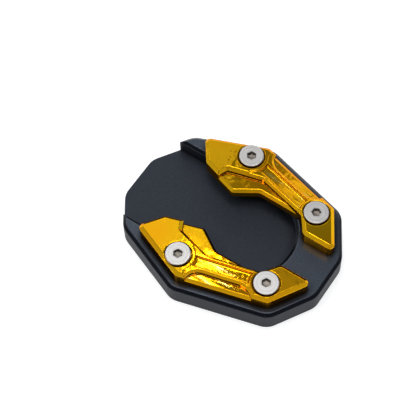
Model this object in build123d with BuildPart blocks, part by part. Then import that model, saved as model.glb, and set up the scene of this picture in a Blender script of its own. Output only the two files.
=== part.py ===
from build123d import *
import math
import os

os.makedirs("parts", exist_ok=True)

# Kickstand foot enlarger, in millimetres.
# X runs along the stand's foot to its toe, Y across it, Z up from the ground.

# Channel that the stand's foot drops into, open at the heel
channel_width = 48.7
channel_toe_x = 32.2
channel_floor = 3.1
channel_chamfer = 1.6

# Screw places, the heel pair beside the channel and the toe pair past its round end
heel_screw_x = -9.0
heel_screw_wall = 7.45
toe_screw_x = 33.7
toe_screw_spacing = 44.2

# Base plate, ten-sided, its shoulders kept a margin away from channel and screws
plate_length = 110.0
plate_end_width = 23.5
plate_thickness = 12.0
plate_chamfer = 1.6
plate_corner_radius = 9.6
heel_shoulder_x = -42.2
heel_shoulder_wall = 6.4
side_peak_x = -4.7
side_peak_margin = 13.7
toe_shoulder_ahead = 8.2
toe_shoulder_margin = 11.0

# Countersunk socket screws
screw_diameter = 6.0
screw_length = 16.0
head_diameter = 12.0
head_rim = 0.6
head_edge = 0.25
head_proud = 0.95
tip_chamfer = 0.8
socket_width = 4.0
socket_depth = 2.5
socket_turns = (0, 30, 0, 0)

# Screw fits
thread_clearance = 0.05
tip_clearance = 1.0
hole_clearance = 0.3
seat_clearance = 0.02
recess_clearance = 0.5
recess_depth = 1.2
recess_bevel = 0.4

# Clamp levels, each measured from the one above or from the plate
clamp_thickness = 8.2
lip_thickness = 4.9
rib_drop = 0.5
rib_slope = 45.0
slot_depth = 1.3
slot_fillet = 1.1
pad_chamfer = 1.6
lip_chamfer = 1.35

# Clamp outline, inset from the plate's edge, its inner corners measured from the screws
clamp_inset = 4.2
clamp_gap = 19.1
heel_peak_back = 17.0
heel_peak_in = 14.1
heel_end_angle = 126.2
lip_nose_ahead = 1.7
lip_nose_in = 20.0
lip_bend_ahead = 13.1
lip_bend_in = 12.8
step_heel_back = 8.2
step_bend_back = 6.0
step_bend_in = 12.1
waist_ahead = 11.4
waist_in = 7.4
toe_notch_back = 5.8
toe_notch_in = 4.1
toe_nose_ahead = 0.25
lip_tail = 2.4

# Corner radii of the clamps
outer_radius = 2.2
nose_radius = 2.4
toe_radius = 3.6
notch_radius = 3.6
step_radius = 1.2

# Ribs, slot and ledge of the waist between the two screw bosses
waist_width = 9.2
inner_rib = 1.9
outer_rib = 1.6
heel_boss_radius = 8.4
toe_boss_radius = 8.2
ledge_heel_radius = 7.1
ledge_toe_radius = 9.1
ledge_start = 0.8
ledge_length = 17.6
rib_zone_back = 7.2
rib_zone_length = 33.0

# Derived places
channel_half = channel_width / 2
channel_centre = (channel_toe_x - channel_half, 0)
heel_screw = Vector(heel_screw_x, channel_half + heel_screw_wall)
toe_screw = Vector(toe_screw_x, toe_screw_spacing / 2)
far = plate_length
half_length = plate_length / 2
end_y = plate_end_width / 2
heel_shoulder = Vector(heel_shoulder_x, channel_half + heel_shoulder_wall)
side_peak = Vector(side_peak_x, heel_screw.Y + side_peak_margin)
toe_shoulder = toe_screw + Vector(toe_shoulder_ahead, toe_shoulder_margin)
clamp_top = plate_thickness + clamp_thickness
rib_top = clamp_top - rib_drop
slot_floor = rib_top - slot_depth
screw_radius = screw_diameter / 2
head_radius = head_diameter / 2
head_top = clamp_top + head_proud
screw_tip = head_top - screw_length
cone_top = head_top - head_rim
cone_foot = cone_top - (head_radius - screw_radius)


left_shoulders = [toe_shoulder, side_peak, heel_shoulder]
left_points = [Vector(half_length, end_y), *left_shoulders, Vector(-half_length, end_y)]
right_points = [Vector(p.X, -p.Y) for p in reversed(left_points)]
left_screws = [heel_screw, toe_screw]
right_screws = [Vector(p.X, -p.Y) for p in left_screws]
screw_places = left_screws + right_screws

# Base plate: chamfered plate, foot channel with a round toe end, four tapped holes
with BuildPart() as base_plate:
    with BuildSketch():
        Polygon(*left_points, *right_points)
        fillet(vertices(), radius=plate_corner_radius)
    extrude(amount=plate_thickness)
    chamfer(faces().sort_by(Axis.Z)[-1].edges(), length=plate_chamfer)
    with BuildSketch(Plane.XY.offset(channel_floor)) as channel:
        with Locations(channel_centre):
            Circle(channel_half)
            Rectangle(far, channel_width, align=(Align.MAX, Align.CENTER))
    extrude(amount=plate_thickness, mode=Mode.SUBTRACT)
    with BuildSketch(Plane.XY.offset(plate_thickness - channel_chamfer)):
        with Locations(channel_centre):
            Circle(channel_half)
            Rectangle(far, channel_width, align=(Align.MAX, Align.CENTER))
    extrude(amount=2 * channel_chamfer, taper=-45, mode=Mode.SUBTRACT)
    with BuildSketch(Plane.XY.offset(plate_thickness)):
        with Locations(*screw_places):
            Circle(screw_radius + thread_clearance)
    extrude(amount=screw_tip - tip_clearance - plate_thickness, mode=Mode.SUBTRACT)
base_plate.part.label = "base_plate"
export_step(base_plate.part, "parts/base_plate.step")

# Inner corners of the left clamp, from the heel to the toe
heel_peak = heel_screw + Vector(-heel_peak_back, -heel_peak_in)
heel_out = heel_peak + Vector(far, 0).rotate(Axis.Z, heel_end_angle)
lip_nose = heel_screw + Vector(lip_nose_ahead, -lip_nose_in)
lip_bend = heel_screw + Vector(lip_bend_ahead, -lip_bend_in)
step_bend = heel_screw + Vector(-step_bend_back, -step_bend_in)
waist = heel_screw + Vector(waist_ahead, -waist_in)
toe_notch = toe_screw + Vector(-toe_notch_back, -toe_notch_in)
toe_nose = Vector(toe_screw.X + toe_nose_ahead, clamp_gap / 2)
lip_tip = toe_notch + (waist - toe_notch).normalized() * lip_tail
heel_side = lip_nose - heel_peak
step_heel = heel_peak + heel_side * ((heel_peak_back - step_heel_back) / heel_side.X)
step_out = step_heel + (step_heel - step_bend)

# Directions of the waist, along it to the toe and across it to the plate's edge
along = (toe_notch - waist).normalized()
across = along.rotate(Axis.Z, 90)
waist_angle = math.degrees(math.atan2(along.Y, along.X))
rib_edge = waist + across * waist_width
ledge_heel = rib_edge + along * ledge_start
ledge_toe = ledge_heel + along * ledge_length
rib_zone = Location(waist - along * rib_zone_back, (0, 0, waist_angle))
slot_start = waist + across * inner_rib + along * (heel_screw - waist).dot(along)
slot_length = (toe_screw - heel_screw).dot(along)
slot_width = waist_width - inner_rib - outer_rib
slot_zone = Location(slot_start, (0, 0, waist_angle))

heel_run = left_points[-1] + (left_points[-1] - heel_shoulder)
toe_run = left_points[0] + (left_points[0] - toe_shoulder)
inner_side = [heel_out, heel_peak, lip_nose, lip_bend, lip_tip, toe_notch, toe_nose]
lip_corners = [
    (heel_shoulder, nose_radius),
    (side_peak, nose_radius),
    (toe_shoulder, outer_radius),
    (left_points[0], outer_radius),
    (toe_nose, toe_radius),
    (toe_notch, notch_radius),
    (lip_bend, notch_radius),
    (lip_nose, nose_radius),
    (heel_peak, nose_radius),
]
pad_corners = [(step_bend, step_radius), (waist, nose_radius)]
slot_middle = (waist + along * ledge_length / 2 + across * waist_width / 2) + Vector(0, 0, slot_floor)

# Half sections of a screw and of its seat in the clamp, as radius and height
hole_radius = screw_radius + hole_clearance
recess_radius = head_radius + recess_clearance
recess_floor = clamp_top - recess_depth
seat_offset = seat_clearance - cone_foot + screw_radius
screw_profile = [
    (0, screw_tip),
    (screw_radius - tip_chamfer, screw_tip),
    (screw_radius, screw_tip + tip_chamfer),
    (screw_radius, cone_foot),
    (head_radius, cone_top),
    (head_radius, head_top - head_edge),
    (head_radius - head_edge, head_top),
    (0, head_top),
]
seat_profile = [
    (0, plate_thickness),
    (hole_radius, plate_thickness),
    (hole_radius, hole_radius - seat_offset),
    (recess_floor + seat_offset, recess_floor),
    (recess_radius, recess_floor),
    (recess_radius, clamp_top - recess_bevel),
    (recess_radius + 2 * recess_bevel, clamp_top + recess_bevel),
    (0, clamp_top + recess_bevel),
]

# Left clamp: lip level, pad level, ledge, ribs and slot, then the screw seats
with BuildPart() as left_clamp:
    with BuildSketch(Plane.XY.offset(plate_thickness)) as lip_level:
        Polygon(toe_run, *left_shoulders, heel_run)
        offset(amount=-clamp_inset, kind=Kind.INTERSECTION)
        Polygon(*inner_side, (far, toe_nose.Y), (far, far), mode=Mode.INTERSECT)
        for place, radius in lip_corners:
            fillet(vertices().sort_by_distance(place)[0], radius=radius)
    extrude(amount=lip_thickness)
    chamfer(faces().sort_by(Axis.Z)[-1].edges(), length=lip_chamfer)
    with BuildSketch(Plane.XY.offset(plate_thickness)) as pad_level:
        add(lip_level.sketch_local)
        Polygon(step_out, step_bend, waist, lip_tip, (lip_tip.X, -far), (step_out.X, -far), mode=Mode.SUBTRACT)
        for place, radius in pad_corners:
            fillet(vertices().sort_by_distance(place)[0], radius=radius)
        with Locations(Location(ledge_heel, (0, 0, waist_angle))):
            Rectangle(ledge_length, far, align=Align.MIN, mode=Mode.SUBTRACT)
        with Locations(ledge_heel + across * ledge_heel_radius):
            Circle(ledge_heel_radius, mode=Mode.SUBTRACT)
        with Locations(ledge_toe + across * ledge_toe_radius):
            Circle(ledge_toe_radius, mode=Mode.SUBTRACT)
    extrude(amount=clamp_thickness)
    chamfer(faces().sort_by(Axis.Z)[-1].edges(), length=pad_chamfer)
    with BuildSketch(Plane.XY.offset(rib_top)):
        with Locations(rib_zone):
            Rectangle(rib_zone_length, far, align=(Align.MIN, Align.CENTER))
        with Locations(heel_screw):
            Circle(heel_boss_radius, mode=Mode.SUBTRACT)
        with Locations(toe_screw):
            Circle(toe_boss_radius, mode=Mode.SUBTRACT)
    extrude(amount=rib_drop, taper=-rib_slope, mode=Mode.SUBTRACT)
    with BuildSketch(Plane.XY.offset(slot_floor)):
        with Locations(slot_zone):
            Rectangle(slot_length, slot_width, align=Align.MIN)
        with Locations(heel_screw):
            Circle(heel_boss_radius, mode=Mode.SUBTRACT)
        with Locations(toe_screw):
            Circle(toe_boss_radius, mode=Mode.SUBTRACT)
    extrude(amount=slot_depth, mode=Mode.SUBTRACT)
    fillet(faces().filter_by(Plane.XY).sort_by_distance(slot_middle)[0].edges(), radius=slot_fillet)
    for place in left_screws:
        with BuildSketch(Plane(origin=place, x_dir=(1, 0, 0), z_dir=(0, -1, 0))):
            Polygon(*seat_profile)
        revolve(axis=Axis(place, (0, 0, 1)), mode=Mode.SUBTRACT)
left_clamp.part.label = "left_clamp"
export_step(left_clamp.part, "parts/left_clamp.step")

# Right clamp, the mirror image of the left one
with BuildPart() as right_clamp:
    mirror(left_clamp.part, about=Plane.XZ)
right_clamp.part.label = "right_clamp"
export_step(right_clamp.part, "parts/right_clamp.step")

# Four countersunk screws with hexagon sockets
with BuildPart() as clamp_screws:
    for place in screw_places:
        with BuildSketch(Plane(origin=place, x_dir=(1, 0, 0), z_dir=(0, -1, 0))):
            Polygon(*screw_profile)
        revolve(axis=Axis(place, (0, 0, 1)))
    with BuildSketch(Plane.XY.offset(head_top)):
        with Locations(*[Location(p, (0, 0, a)) for p, a in zip(screw_places, socket_turns)]):
            RegularPolygon(socket_width / 2, 6, major_radius=False)
    extrude(amount=-socket_depth, mode=Mode.SUBTRACT)
clamp_screws.part.label = "clamp_screws"
export_step(clamp_screws.part, "parts/clamp_screws.step")
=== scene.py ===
import math

import bmesh
import bpy
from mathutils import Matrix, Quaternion, Vector


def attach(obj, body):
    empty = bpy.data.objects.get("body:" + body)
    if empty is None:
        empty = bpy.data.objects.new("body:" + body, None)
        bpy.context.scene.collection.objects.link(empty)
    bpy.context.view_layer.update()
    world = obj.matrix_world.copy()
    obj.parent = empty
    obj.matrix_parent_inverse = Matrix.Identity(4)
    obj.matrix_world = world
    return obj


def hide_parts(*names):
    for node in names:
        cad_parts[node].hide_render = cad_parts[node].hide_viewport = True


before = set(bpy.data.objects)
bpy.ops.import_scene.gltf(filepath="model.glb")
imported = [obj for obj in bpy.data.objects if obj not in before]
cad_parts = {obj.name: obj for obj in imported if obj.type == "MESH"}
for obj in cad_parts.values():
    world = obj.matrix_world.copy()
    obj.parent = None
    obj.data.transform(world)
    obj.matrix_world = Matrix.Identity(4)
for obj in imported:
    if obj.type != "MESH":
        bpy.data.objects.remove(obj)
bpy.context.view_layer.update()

MM = 0.001
scene = bpy.context.scene
scene.view_settings.view_transform = "Standard"


# Levels of the CAD pieces, in mm

def heights(node):
    """The lowest and the highest level of a CAD piece, in mm."""
    levels = [vertex.co.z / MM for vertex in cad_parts[node].data.vertices]
    return min(levels), max(levels)


SCREW_TIP, HEAD_TOP = heights("clamp_screws")
PLATE_BOTTOM, PLATE_TOP = heights("base_plate")
CLAMP_TOP = heights("left_clamp")[1]
SLOT_BELOW_CLAMP = 1.8
LEDGE_ABOVE_PLATE = 4.9
LEDGE_FROM_MIDDLE = 28.0
SLOT_FLOOR = CLAMP_TOP - SLOT_BELOW_CLAMP
LEDGE_TOP = PLATE_TOP + LEDGE_ABOVE_PLATE

# How far from the plate's top its upper edges reach, and from its bottom the channel's floor

PLATE_EDGE_DEPTH = 2.0
CHANNEL_FLOOR_REACH = 5.0
PLATE_EDGE_FROM = PLATE_TOP - PLATE_EDGE_DEPTH
CHANNEL_FLOOR_TO = PLATE_BOTTOM + CHANNEL_FLOOR_REACH

# Sizes of the screws, in mm, and the turn of each one's socket, in degrees

HEEL_SCREW_X, HEEL_SCREW_Y = -9.0, 31.8
TOE_SCREW_X, TOE_SCREW_Y = 33.7, 22.1
HEAD_RADIUS = 6.0
HEAD_ROUNDING = 0.25
HEAD_RIM = 0.6
FLAT_FROM_EDGE = 0.45
SHANK_RADIUS = 3.0
TIP_CHAMFER = 0.8
THREAD_ROOT = 2.5
THREAD_PITCH = 1.0
THREAD_CREST = 0.1
THREAD_FROM_HEAD = 0.5
SOCKET_FLAT = 2.0
SOCKET_EDGE = 0.15
SOCKET_DEPTH = 2.5
SOCKET_CONE = 0.4
RIM_FOOT = HEAD_TOP - HEAD_ROUNDING - HEAD_RIM
UNDER_HEAD = RIM_FOOT - (HEAD_RADIUS - SHANK_RADIUS)
SOCKET_CORNER = (SOCKET_FLAT + SOCKET_EDGE) / math.cos(math.pi / 6)
SOCKET_FLOOR = HEAD_TOP - SOCKET_DEPTH
ROUND_STEPS = 48
WELD = 0.001
SHARP_ANGLE = math.radians(35)
SCREWS = [
    (HEEL_SCREW_X, HEEL_SCREW_Y, 0),
    (TOE_SCREW_X, TOE_SCREW_Y, 30),
    (HEEL_SCREW_X, -HEEL_SCREW_Y, 0),
    (TOE_SCREW_X, -TOE_SCREW_Y, 0),
]

# Floor, just under the plate so that the two faces don't coincide, in metres

FLOOR_RADIUS = 4.0
FLOOR_LEVEL = -0.1 * MM
FLOOR_STEPS = 64

# Room light: an even low level, a soft patch opposite the camera and a paler band round the horizon

EVEN_LEVEL = 0.05
PATCH_LEVEL = 0.20
PATCH_DIRECTION = Vector((-0.30, 0.62, 0.72)).normalized()
BAND_LEVEL = 0.62

# Height of the lamps overhead and what the others aim at, in metres

CEILING = 0.60
MIDDLE = (0.0, 0.0, 0.0)

# Camera, in metres, with its lens and sensor in mm

CAMERA_PLACE = Vector((0.16790, -0.25424, 0.57602))
CAMERA_AIM = Vector((-0.01396, 0.00072, 0.01056))
CAMERA_ROLL = math.radians(-2.13)
CAMERA_LENS = 115.49
CAMERA_SENSOR = 36.0

# A Mix node's colour sockets share their names with its number sockets, so they go by number

COLOUR_A, COLOUR_B, COLOUR_OUT = 6, 7, 2


# Small helpers

def linear(code):
    """The linear colour of an sRGB hex value."""
    parts = [int(code[i:i + 2], 16) / 255 for i in (0, 2, 4)]
    return [p / 12.92 if p <= 0.04045 else ((p + 0.055) / 1.055) ** 2.4 for p in parts] + [1.0]


def add(tree, kind, sockets, stops=(), **settings):
    """Adds a node with its settings and ramp stops, and fills its sockets with values or links."""
    made = tree.nodes.new("ShaderNode" + kind)
    for name, value in settings.items():
        setattr(made, name, value)
    for number, (position, code) in enumerate(stops):
        made.color_ramp.elements[number].position = position
        made.color_ramp.elements[number].color = linear(code)
    for name, value in sockets.items():
        if isinstance(value, bpy.types.NodeSocket):
            tree.links.new(value, made.inputs[name])
        else:
            made.inputs[name].default_value = value
    return made


def finish_of(name):
    """An empty node material, its tree and its output."""
    material = bpy.data.materials.new(name)
    material.use_nodes = True
    material.node_tree.nodes.clear()
    return material, material.node_tree, add(material.node_tree, "OutputMaterial", {})


def piece_of(bm, name):
    """Ends a bmesh as an object in the scene."""
    mesh = bpy.data.meshes.new(name)
    bm.to_mesh(mesh)
    bm.free()
    piece = bpy.data.objects.new(name, mesh)
    scene.collection.objects.link(piece)
    return piece


# Finishes

def gold_anodised_aluminium():
    """Milled aluminium, polished, anodised and dyed gold: a metal that mirrors the room in deep yellow,
    a little wavy from the polishing wheel, with pale cutter streaks on the floors of the slot and the ledge,
    and brown lines of painted shade in its inner corners."""
    material, tree, out = finish_of("gold_anodised_aluminium")
    place = add(tree, "TexCoord", {}).outputs["Object"]
    axes = add(tree, "SeparateXYZ", {"Vector": place})
    side = add(tree, "Math", {0: axes.outputs["Y"]}, operation="ABSOLUTE")

    # The dye takes deeper here and there, in wide clouds and in a grain, drawn 0.8 mm wide so that it shows
    cloud_width, grain_width, grain_share = 30 * MM, 0.8 * MM, 0.5
    cloud = add(tree, "TexNoise", {"Vector": place, "Scale": 1 / cloud_width, "Detail": 1.0})
    grain = add(tree, "TexNoise", {"Vector": place, "Scale": 1 / grain_width, "Detail": 2.0})
    depth = add(tree, "Math", {0: grain.outputs["Fac"], 1: grain_share, 2: cloud.outputs["Fac"]},
                operation="MULTIPLY_ADD")
    dye = add(tree, "ValToRGB", {"Fac": depth.outputs[0]}, stops=((0.55, "E6B204"), (0.95, "EEA800")))

    # Cutter streaks run from screw to screw on both clamps, and the third axis makes the two clamps differ
    streak_length, streak_width, clamp_shift = 14 * MM, 2.6 * MM, 20 * MM
    screw_line = math.atan2(HEEL_SCREW_Y - TOE_SCREW_Y, TOE_SCREW_X - HEEL_SCREW_X)
    folded = add(tree, "CombineXYZ", {"X": axes.outputs["X"], "Y": side.outputs[0], "Z": axes.outputs["Y"]})
    along = add(tree, "Mapping", {"Vector": folded.outputs[0], "Rotation": (0, 0, screw_line),
                                  "Scale": (1 / streak_length, 1 / streak_width, 1 / clamp_shift)})
    streak = add(tree, "TexNoise", {"Vector": along.outputs[0], "Scale": 1.0, "Detail": 1.5})

    # They show only on the floors that the cutter leaves: the slot's and the outer ledge's
    slot_reach, ledge_reach = 0.25 * MM, 0.1 * MM
    slot = add(tree, "Math", {0: axes.outputs["Z"], 1: SLOT_FLOOR * MM, 2: slot_reach}, operation="COMPARE")
    low = add(tree, "Math", {0: axes.outputs["Z"], 1: LEDGE_TOP * MM, 2: ledge_reach}, operation="COMPARE")
    outer = add(tree, "Math", {0: side.outputs[0], 1: LEDGE_FROM_MIDDLE * MM}, operation="GREATER_THAN")
    ledge = add(tree, "Math", {0: low.outputs[0], 1: outer.outputs[0]}, operation="MULTIPLY")
    milled = add(tree, "Math", {0: slot.outputs[0], 1: ledge.outputs[0]}, operation="ADD")

    # The streaks' ridges are polished paler
    ridge = add(tree, "MapRange", {"Value": streak.outputs["Fac"], "From Min": 0.54, "From Max": 0.68})
    pale = add(tree, "Math", {0: ridge.outputs[0], 1: milled.outputs[0]}, operation="MULTIPLY")
    streaked = add(tree, "Mix", {"Factor": pale.outputs[0], COLOUR_A: dye.outputs["Color"],
                                 COLOUR_B: linear("F5D45C")}, data_type="RGBA")

    # Painted shade: the inner corners, where gold would mirror gold, are drawn as brown lines
    corner_width = 1.3 * MM
    corner = add(tree, "AmbientOcclusion", {"Distance": corner_width}, samples=8)
    inner = add(tree, "MapRange", {"Value": corner.outputs["AO"], "From Min": 0.5, "From Max": 0.85,
                                   "To Min": 0.8, "To Max": 0.0})
    colour = add(tree, "Mix", {"Factor": inner.outputs[0], COLOUR_A: streaked.outputs[COLOUR_OUT],
                               COLOUR_B: linear("6C4A08")}, data_type="RGBA")

    # Polish haze in patches
    haze_width = 6 * MM
    haze = add(tree, "TexNoise", {"Vector": place, "Scale": 1 / haze_width, "Detail": 3.0})
    rough = add(tree, "MapRange", {"Value": haze.outputs["Fac"], "From Min": 0.3, "From Max": 0.7,
                                   "To Min": 0.05, "To Max": 0.09})

    # Waves left by the polishing wheel, deeper in some patches, and furrows where the cutter streaks are
    wave_width, patch_width, furrow_height = 4 * MM, 18 * MM, 1.6
    wave = add(tree, "TexNoise", {"Vector": place, "Scale": 1 / wave_width, "Detail": 1.5})
    patch = add(tree, "TexNoise", {"Vector": place, "Scale": 1 / patch_width, "Detail": 1.0})
    worn = add(tree, "MapRange", {"Value": patch.outputs["Fac"], "From Min": 0.42, "From Max": 0.58,
                                  "To Min": 0.5, "To Max": 1.8})
    ripple = add(tree, "Math", {0: wave.outputs["Fac"], 1: worn.outputs[0]}, operation="MULTIPLY")
    furrow = add(tree, "Math", {0: streak.outputs["Fac"], 1: furrow_height, 2: wave.outputs["Fac"]},
                 operation="MULTIPLY_ADD")
    relief = add(tree, "Mix", {"Factor": milled.outputs[0], "A": ripple.outputs[0], "B": furrow.outputs[0]})

    # Edges rounded by the polish, then the waves, then the grain
    edge_radius, wave_height, grain_height = 0.45 * MM, 0.035 * MM, 0.0006 * MM
    edge = add(tree, "Bevel", {"Radius": edge_radius}, samples=8)
    worked = add(tree, "Bump", {"Height": relief.outputs[0], "Distance": wave_height,
                                "Normal": edge.outputs[0]})
    grained = add(tree, "Bump", {"Height": grain.outputs["Fac"], "Distance": grain_height,
                                 "Normal": worked.outputs[0]})

    # The clear oxide over the dye mirrors a little white light
    shader = add(tree, "BsdfPrincipled", {
        "Base Color": colour.outputs[COLOUR_OUT], "Metallic": 1.0, "Roughness": rough.outputs[0],
        "Specular Tint": linear("D8A43A"), "Normal": grained.outputs[0],
        "Coat Weight": 0.10, "Coat Roughness": 0.04, "Coat IOR": 1.6, "Coat Normal": grained.outputs[0]})
    tree.links.new(shader.outputs[0], out.inputs["Surface"])
    return material


def black_anodised_aluminium():
    """Milled aluminium, bead blasted, anodised and dyed black: a satin blue-black skin with a fine even
    grain. The chamfers are cut after the blasting, so they stay smooth, and the edges above them glint.
    The walls and the channel's floor keep the cutter's dull skin. The chamfers, the walls, the channel's
    floor and the corners beside the clamps are drawn darker as painted shade."""
    material, tree, out = finish_of("black_anodised_aluminium")
    place = add(tree, "TexCoord", {}).outputs["Object"]
    axes = add(tree, "SeparateXYZ", {"Vector": place})

    # Blasted grain, drawn 0.7 mm wide so that it shows
    grain_width, grain_height = 0.7 * MM, 0.008 * MM
    grain = add(tree, "TexNoise", {"Vector": place, "Scale": 1 / grain_width, "Detail": 3.0,
                                   "Roughness": 0.6})
    skin = add(tree, "ValToRGB", {"Fac": grain.outputs["Fac"]}, stops=((0.3, "31373F"), (0.7, "41474F")))

    # A wall stands upright, a chamfer leans at 45 degrees, and the edge from chamfer to top lies in between
    edge_radius = 0.6 * MM
    wall_lean, wall_span = 0.0, 0.3
    chamfer_lean, chamfer_span = 0.707, 0.12
    turn_lean, turn_span = 0.91, 0.07
    edge = add(tree, "Bevel", {"Radius": edge_radius}, samples=8)
    lean = add(tree, "SeparateXYZ", {"Vector": edge.outputs[0]})
    wall = add(tree, "Math", {0: lean.outputs["Z"], 1: wall_lean, 2: wall_span}, operation="COMPARE")
    chamfer = add(tree, "Math", {0: lean.outputs["Z"], 1: chamfer_lean, 2: chamfer_span}, operation="COMPARE")
    turn = add(tree, "Math", {0: lean.outputs["Z"], 1: turn_lean, 2: turn_span}, operation="COMPARE")
    channel = add(tree, "Math", {0: axes.outputs["Z"], 1: CHANNEL_FLOOR_TO * MM}, operation="LESS_THAN")
    dull = add(tree, "Math", {0: wall.outputs[0], 1: channel.outputs[0]}, operation="MAXIMUM")

    # The plate's upper edges are the smoothest, so they mirror the lamps as a light line
    upper = add(tree, "Math", {0: axes.outputs["Z"], 1: PLATE_EDGE_FROM * MM}, operation="GREATER_THAN")
    upper_edge = add(tree, "Math", {0: turn.outputs[0], 1: upper.outputs[0]}, operation="MULTIPLY")

    # Painted shade: the corners beside the clamps are drawn darker and mirror less
    corner_width, corner_left = 7 * MM, 0.12
    corner = add(tree, "AmbientOcclusion", {"Distance": corner_width}, samples=12)
    clear = add(tree, "MapRange", {"Value": corner.outputs["AO"], "From Min": 0.5, "From Max": 0.85,
                                   "To Min": corner_left, "To Max": 1.0})

    # Painted shade, in order: the channel floor, the walls, the chamfers and the corners are drawn darker
    channel_shaded = add(tree, "Mix", {"Factor": channel.outputs[0], COLOUR_A: skin.outputs["Color"],
                                COLOUR_B: linear("B0B0B0")}, data_type="RGBA", blend_type="MULTIPLY")
    wall_shaded = add(tree, "Mix", {"Factor": wall.outputs[0], COLOUR_A: channel_shaded.outputs[COLOUR_OUT],
                               COLOUR_B: linear("1A1C20")}, data_type="RGBA")
    chamfer_shaded = add(tree, "Mix", {"Factor": chamfer.outputs[0], COLOUR_A: wall_shaded.outputs[COLOUR_OUT],
                                  COLOUR_B: linear("08080A")}, data_type="RGBA")
    colour = add(tree, "Mix", {"Factor": 1.0, COLOUR_A: chamfer_shaded.outputs[COLOUR_OUT],
                               COLOUR_B: clear.outputs[0]}, data_type="RGBA", blend_type="MULTIPLY")

    # Satin on the blasted top, dull where the cutter's skin is left, smooth on chamfers and upper edges
    dull_rough, chamfer_rough, edge_rough = 0.55, 0.16, 0.12
    satin = add(tree, "MapRange", {"Value": grain.outputs["Fac"], "From Min": 0.3, "From Max": 0.7,
                                   "To Min": 0.18, "To Max": 0.26})
    plain_rough = add(tree, "Mix", {"Factor": dull.outputs[0], "A": satin.outputs[0], "B": dull_rough})
    low_rough = add(tree, "Mix", {"Factor": chamfer.outputs[0], "A": plain_rough.outputs[0],
                                  "B": chamfer_rough})
    rough = add(tree, "Mix", {"Factor": upper_edge.outputs[0], "A": low_rough.outputs[0], "B": edge_rough})

    # The dyed oxide mirrors most on the upper edges and least on the chamfers
    dull_gloss, chamfer_gloss, edge_gloss = 0.32, 0.14, 1.0
    # Painted shade: less mirroring in the corners beside the clamps
    open_gloss = add(tree, "MapRange", {"Value": clear.outputs[0], "From Min": corner_left, "From Max": 1.0,
                                        "To Min": 0.15, "To Max": 0.5})
    plain_gloss = add(tree, "Mix", {"Factor": dull.outputs[0], "A": open_gloss.outputs[0], "B": dull_gloss})
    low_gloss = add(tree, "Mix", {"Factor": chamfer.outputs[0], "A": plain_gloss.outputs[0],
                                  "B": chamfer_gloss})
    gloss = add(tree, "Mix", {"Factor": upper_edge.outputs[0], "A": low_gloss.outputs[0], "B": edge_gloss})

    grained = add(tree, "Bump", {"Height": grain.outputs["Fac"], "Distance": grain_height,
                                 "Normal": edge.outputs[0]})
    shader = add(tree, "BsdfPrincipled", {
        "Base Color": colour.outputs[COLOUR_OUT], "Roughness": rough.outputs[0], "IOR": 1.5,
        "Specular IOR Level": gloss.outputs[0], "Specular Tint": linear("DCE6FF"),
        "Normal": grained.outputs[0]})
    tree.links.new(shader.outputs[0], out.inputs["Surface"])
    return material


def turned_stainless_steel():
    """Stainless steel, turned on a lathe: a pale grey metal with faint rings round each screw's axis."""
    material, tree, out = finish_of("turned_stainless_steel")
    place = add(tree, "TexCoord", {}).outputs["Object"]
    from_axis = add(tree, "UVMap", {}, uv_map="turning").outputs[0]

    # Tool rings, drawn 0.8 mm apart so that they show, on the screws' map, which is in mm from the axis
    ring_gap, ring_height, edge_radius = 0.8, 0.0015 * MM, 0.12 * MM
    radius = add(tree, "VectorMath", {0: from_axis}, operation="LENGTH")
    ring = add(tree, "TexNoise", {"W": radius.outputs["Value"], "Scale": 1 / ring_gap, "Detail": 2.0},
               noise_dimensions="1D")
    tone = add(tree, "ValToRGB", {"Fac": ring.outputs["Fac"]}, stops=((0.3, "B6B4B1"), (0.7, "CAC8C5")))

    # Wear from handling, in small clouds
    cloud_width = 2.5 * MM
    cloud = add(tree, "TexNoise", {"Vector": place, "Scale": 1 / cloud_width, "Detail": 2.0})
    rough = add(tree, "MapRange", {"Value": cloud.outputs["Fac"], "From Min": 0.3, "From Max": 0.7,
                                   "To Min": 0.36, "To Max": 0.42})

    edge = add(tree, "Bevel", {"Radius": edge_radius}, samples=6)
    ringed = add(tree, "Bump", {"Height": ring.outputs["Fac"], "Distance": ring_height,
                                "Normal": edge.outputs[0]})
    shader = add(tree, "BsdfPrincipled", {
        "Base Color": tone.outputs["Color"], "Metallic": 1.0, "Roughness": rough.outputs[0],
        "Normal": ringed.outputs[0]})
    tree.links.new(shader.outputs[0], out.inputs["Surface"])
    return material


def formed_stainless_steel():
    """Stainless steel, cold formed by the socket's punch, with a dull skin, drawn darker than the turned top
    as painted shade in the socket.
    """
    material, tree, out = finish_of("formed_stainless_steel")
    place = add(tree, "TexCoord", {}).outputs["Object"]

    # Punched skin, drawn 1.2 mm wide so that it shows
    skin_width = 1.2 * MM
    skin = add(tree, "TexNoise", {"Vector": place, "Scale": 1 / skin_width, "Detail": 2.0})
    # Painted shade: the socket's tones are drawn darker than the turned top
    tone = add(tree, "ValToRGB", {"Fac": skin.outputs["Fac"]}, stops=((0.3, "6E6760"), (0.7, "9C958D")))
    rough = add(tree, "MapRange", {"Value": skin.outputs["Fac"], "From Min": 0.3, "From Max": 0.7,
                                   "To Min": 0.35, "To Max": 0.5})
    shader = add(tree, "BsdfPrincipled", {
        "Base Color": tone.outputs["Color"], "Metallic": 1.0, "Roughness": rough.outputs[0]})
    tree.links.new(shader.outputs[0], out.inputs["Surface"])
    return material


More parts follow.
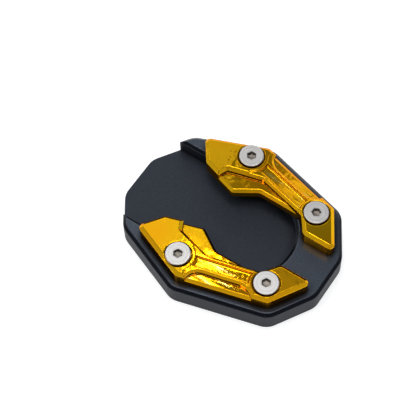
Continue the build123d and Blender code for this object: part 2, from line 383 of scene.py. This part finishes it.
def white_paper():
    """Matt white paper for the floor: the camera and mirrored rays see it topped up to white."""
    material, tree, out = finish_of("white_paper")
    place = add(tree, "TexCoord", {}).outputs["Object"]

    # The paper's tooth, drawn 40 mm wide as a faint cloud
    tooth_width, top_up = 40 * MM, 0.72
    tooth = add(tree, "TexNoise", {"Vector": place, "Scale": 1 / tooth_width})
    shade = add(tree, "ValToRGB", {"Fac": tooth.outputs["Fac"]}, stops=((0.0, "BCBCBC"), (1.0, "C0C0C0")))
    paper = add(tree, "BsdfDiffuse", {"Color": shade.outputs["Color"]})

    # The top-up that only the camera, mirrors and glass see
    path = add(tree, "LightPath", {})
    looked_at = add(tree, "Math", {0: path.outputs["Is Camera Ray"], 1: path.outputs["Is Glossy Ray"]},
                    operation="MAXIMUM")
    seen = add(tree, "Math", {0: looked_at.outputs[0], 1: path.outputs["Is Transmission Ray"]},
               operation="MAXIMUM")
    lift = add(tree, "Math", {0: seen.outputs[0], 1: top_up}, operation="MULTIPLY")
    white = add(tree, "Emission", {"Strength": lift.outputs[0]})
    both = add(tree, "AddShader", {0: paper.outputs[0], 1: white.outputs[0]})
    tree.links.new(both.outputs[0], out.inputs["Surface"])
    return material


# Screws

def screw_outline():
    """Half of the screw's outline, from its tip to the edge of its flat top, as radius and height in mm."""
    height = SCREW_TIP + TIP_CHAMFER
    points = [(0.0, SCREW_TIP), (SHANK_RADIUS - TIP_CHAMFER, SCREW_TIP), (SHANK_RADIUS, height)]
    while height + THREAD_PITCH < UNDER_HEAD - THREAD_FROM_HEAD:
        points += [
            (SHANK_RADIUS, height + THREAD_CREST),
            (THREAD_ROOT, height + THREAD_PITCH / 2),
            (SHANK_RADIUS, height + THREAD_PITCH - THREAD_CREST),
        ]
        height += THREAD_PITCH
    points += [(SHANK_RADIUS, UNDER_HEAD), (HEAD_RADIUS, RIM_FOOT)]
    for turn in (0, 30, 60, 90):
        angle = math.radians(turn)
        points.append((HEAD_RADIUS - HEAD_ROUNDING * (1 - math.cos(angle)),
                       HEAD_TOP - HEAD_ROUNDING * (1 - math.sin(angle))))

    # A last point near the edge keeps the top flat under smooth shading
    points.append((HEAD_RADIUS - FLAT_FROM_EDGE, HEAD_TOP))
    return points


def hexagon_reach(angle, flat):
    """How far a hexagon's wall is from its axis in that direction."""
    return flat / math.cos(angle % (math.pi / 3) - math.pi / 6)


def grown(bm, loop):
    """Extrudes an open loop of edges, and gives the new loop's vertices and edges."""
    new = bmesh.ops.extrude_edge_only(bm, edges=loop)["geom"]
    verts = [g for g in new if isinstance(g, bmesh.types.BMVert)]
    edges = [g for g in new if isinstance(g, bmesh.types.BMEdge) and g.is_boundary]
    return verts, edges


def one_screw(bm, x, y, turn):
    """Turns one screw about its axis, sinks its hexagon socket into the top and moves it to its place.
    The vertices of the screws made before it are tagged."""
    outline = [bm.verts.new((radius, 0, height)) for radius, height in screw_outline()]
    line = [bm.edges.new(pair) for pair in zip(outline, outline[1:])]
    bmesh.ops.spin(bm, geom=outline + line, cent=(0, 0, 0), axis=(0, 0, 1), angle=math.tau,
                   steps=ROUND_STEPS, use_merge=True)
    bmesh.ops.remove_doubles(bm, verts=[v for v in bm.verts if not v.tag], dist=WELD)

    # The socket: a hexagon mouth with a small chamfer, straight walls and a cone at the bottom
    loop = [e for e in bm.edges if e.is_boundary and not e.verts[0].tag]
    for flat, level in ((SOCKET_FLAT + SOCKET_EDGE, HEAD_TOP), (SOCKET_FLAT, HEAD_TOP - SOCKET_EDGE)):
        verts, loop = grown(bm, loop)
        for v in verts:
            angle = math.atan2(v.co.y, v.co.x)
            reach = hexagon_reach(angle - math.radians(turn), flat)
            v.co = (reach * math.cos(angle), reach * math.sin(angle), level)
    verts, loop = grown(bm, loop)
    for v in verts:
        v.co.z = SOCKET_FLOOR
    verts = grown(bm, loop)[0]
    bmesh.ops.pointmerge(bm, verts=verts, merge_co=(0, 0, SOCKET_FLOOR - SOCKET_CONE))

    fresh = [v for v in bm.verts if not v.tag]
    bmesh.ops.translate(bm, vec=(x, y, 0), verts=fresh)
    for v in fresh:
        v.tag = True


def clamp_screws():
    """The four clamp screws, with their sockets as second material and a map in mm from each one's axis."""
    bm = bmesh.new()
    for x, y, turn in SCREWS:
        one_screw(bm, x, y, turn)
    bmesh.ops.recalc_face_normals(bm, faces=bm.faces)
    turning = bm.loops.layers.uv.new("turning")
    for face in bm.faces:
        face.smooth = True
        middle = face.calc_center_median()
        x, y = min(SCREWS, key=lambda screw: math.hypot(middle.x - screw[0], middle.y - screw[1]))[:2]
        reach = math.hypot(middle.x - x, middle.y - y)
        face.material_index = int(reach < SOCKET_CORNER and middle.z > UNDER_HEAD)
        for loop in face.loops:
            loop[turning].uv = (loop.vert.co.x - x, loop.vert.co.y - y)
    for edge in bm.edges:
        edge.smooth = edge.calc_face_angle(0) < SHARP_ANGLE
    bmesh.ops.scale(bm, vec=(MM, MM, MM), verts=bm.verts)
    return piece_of(bm, "screws")


black = black_anodised_aluminium()
gold = gold_anodised_aluminium()
for name, finish in (("base_plate", black), ("left_clamp", gold), ("right_clamp", gold)):
    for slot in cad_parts[name].material_slots:
        slot.material = finish

screws = clamp_screws()
screws.data.materials.append(turned_stainless_steel())
screws.data.materials.append(formed_stainless_steel())
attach(screws, "root")
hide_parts("clamp_screws")


# Floor

bm = bmesh.new()
bmesh.ops.create_circle(bm, cap_ends=True, segments=FLOOR_STEPS, radius=FLOOR_RADIUS)
bmesh.ops.translate(bm, vec=(0, 0, FLOOR_LEVEL), verts=bm.verts)
floor = piece_of(bm, "floor")
floor.data.materials.append(white_paper())


# Room light

world = bpy.data.worlds.new("studio")
scene.world = world
world.use_nodes = True
room = world.node_tree
room.nodes.clear()
ray = add(room, "TexCoord", {}).outputs["Generated"]
nearness = add(room, "VectorMath", {0: ray, 1: PATCH_DIRECTION}, operation="DOT_PRODUCT")
patch = add(room, "MapRange", {"Value": nearness.outputs["Value"], "From Min": 0.45, "From Max": 1.0,
                               "To Min": 0.0, "To Max": PATCH_LEVEL}, interpolation_type="SMOOTHSTEP")
rise = add(room, "SeparateXYZ", {"Vector": ray})
band = add(room, "MapRange", {"Value": rise.outputs["Z"], "From Min": 0.65, "From Max": 0.4,
                              "To Min": 0.0, "To Max": BAND_LEVEL}, interpolation_type="SMOOTHSTEP")
shaped = add(room, "Math", {0: patch.outputs[0], 1: band.outputs[0]}, operation="ADD")
level = add(room, "Math", {0: shaped.outputs[0], 1: EVEN_LEVEL}, operation="ADD")
air = add(room, "Background", {"Color": linear("F0F6FF"), "Strength": level.outputs[0]})
add(room, "OutputWorld", {"Surface": air.outputs[0]})


# Lamps, in metres

def lamp(name, place, size, radiance, aim=None, shape="RECTANGLE"):
    """A flat softbox of that radiance, out of the camera's sight. Without an aim it faces straight down."""
    light = bpy.data.lights.new(name, "AREA")
    light.shape = shape
    light.size, light.size_y = size
    fill = math.pi / 4 if shape == "ELLIPSE" else 1
    light.energy = radiance * math.pi * size[0] * size[1] * fill
    box = bpy.data.objects.new(name, light)
    box.location = place
    ahead = Vector(aim or (place[0], place[1], 0.0)) - Vector(place)
    box.rotation_euler = ahead.to_track_quat("-Z", "Y").to_euler()
    box.visible_camera = False
    scene.collection.objects.link(box)


# Main light, and a thin bright one for the glint in the near slot
lamp("key", place=(-0.06, 0.06, CEILING), size=(0.32, 0.14), radiance=4.3)
lamp("core", place=(-0.163, 0.207, CEILING), size=(0.055, 0.006), radiance=24.0, shape="ELLIPSE")

# What the flat tops of the two clamps mirror
lamp("glow", place=(-0.36, 0.14, CEILING), size=(0.41, 0.24), radiance=0.80)
lamp("toe", place=(-0.095, 0.225, CEILING), size=(0.05, 0.05), radiance=0.17)
lamp("far_heel", place=(-0.38, 0.32, CEILING), size=(0.35, 0.09), radiance=0.45)
lamp("far_slot", place=(-0.135, 0.33, CEILING), size=(0.035, 0.05), radiance=0.8)
lamp("far_lip", place=(-0.210, 0.304, CEILING), size=(0.030, 0.012), radiance=1.2, shape="ELLIPSE")

# Fill from above, from the far side, from the heel and from the near side
lamp("top", place=(0.10, -0.10, 1.0), size=(0.6, 0.55), radiance=2.4)
lamp("back", place=(-0.45, 0.68, 0.55), size=(0.7, 0.5), radiance=1.4, aim=MIDDLE)
lamp("left", place=(-0.73, -0.04, 0.68), size=(0.25, 0.25), radiance=2.0, aim=MIDDLE)
lamp("rear", place=(-0.211, -0.325, 0.70), size=(0.18, 0.18), radiance=8.0, aim=MIDDLE)


# Camera

camera = bpy.data.objects.new("camera", bpy.data.cameras.new("camera"))
camera.data.sensor_width = CAMERA_SENSOR
camera.data.lens = CAMERA_LENS
camera.location = CAMERA_PLACE
facing = (CAMERA_AIM - CAMERA_PLACE).to_track_quat("-Z", "Y")
roll = Quaternion((0, 0, 1), CAMERA_ROLL)
camera.rotation_euler = (facing @ roll).to_euler()
scene.collection.objects.link(camera)
scene.camera = camera
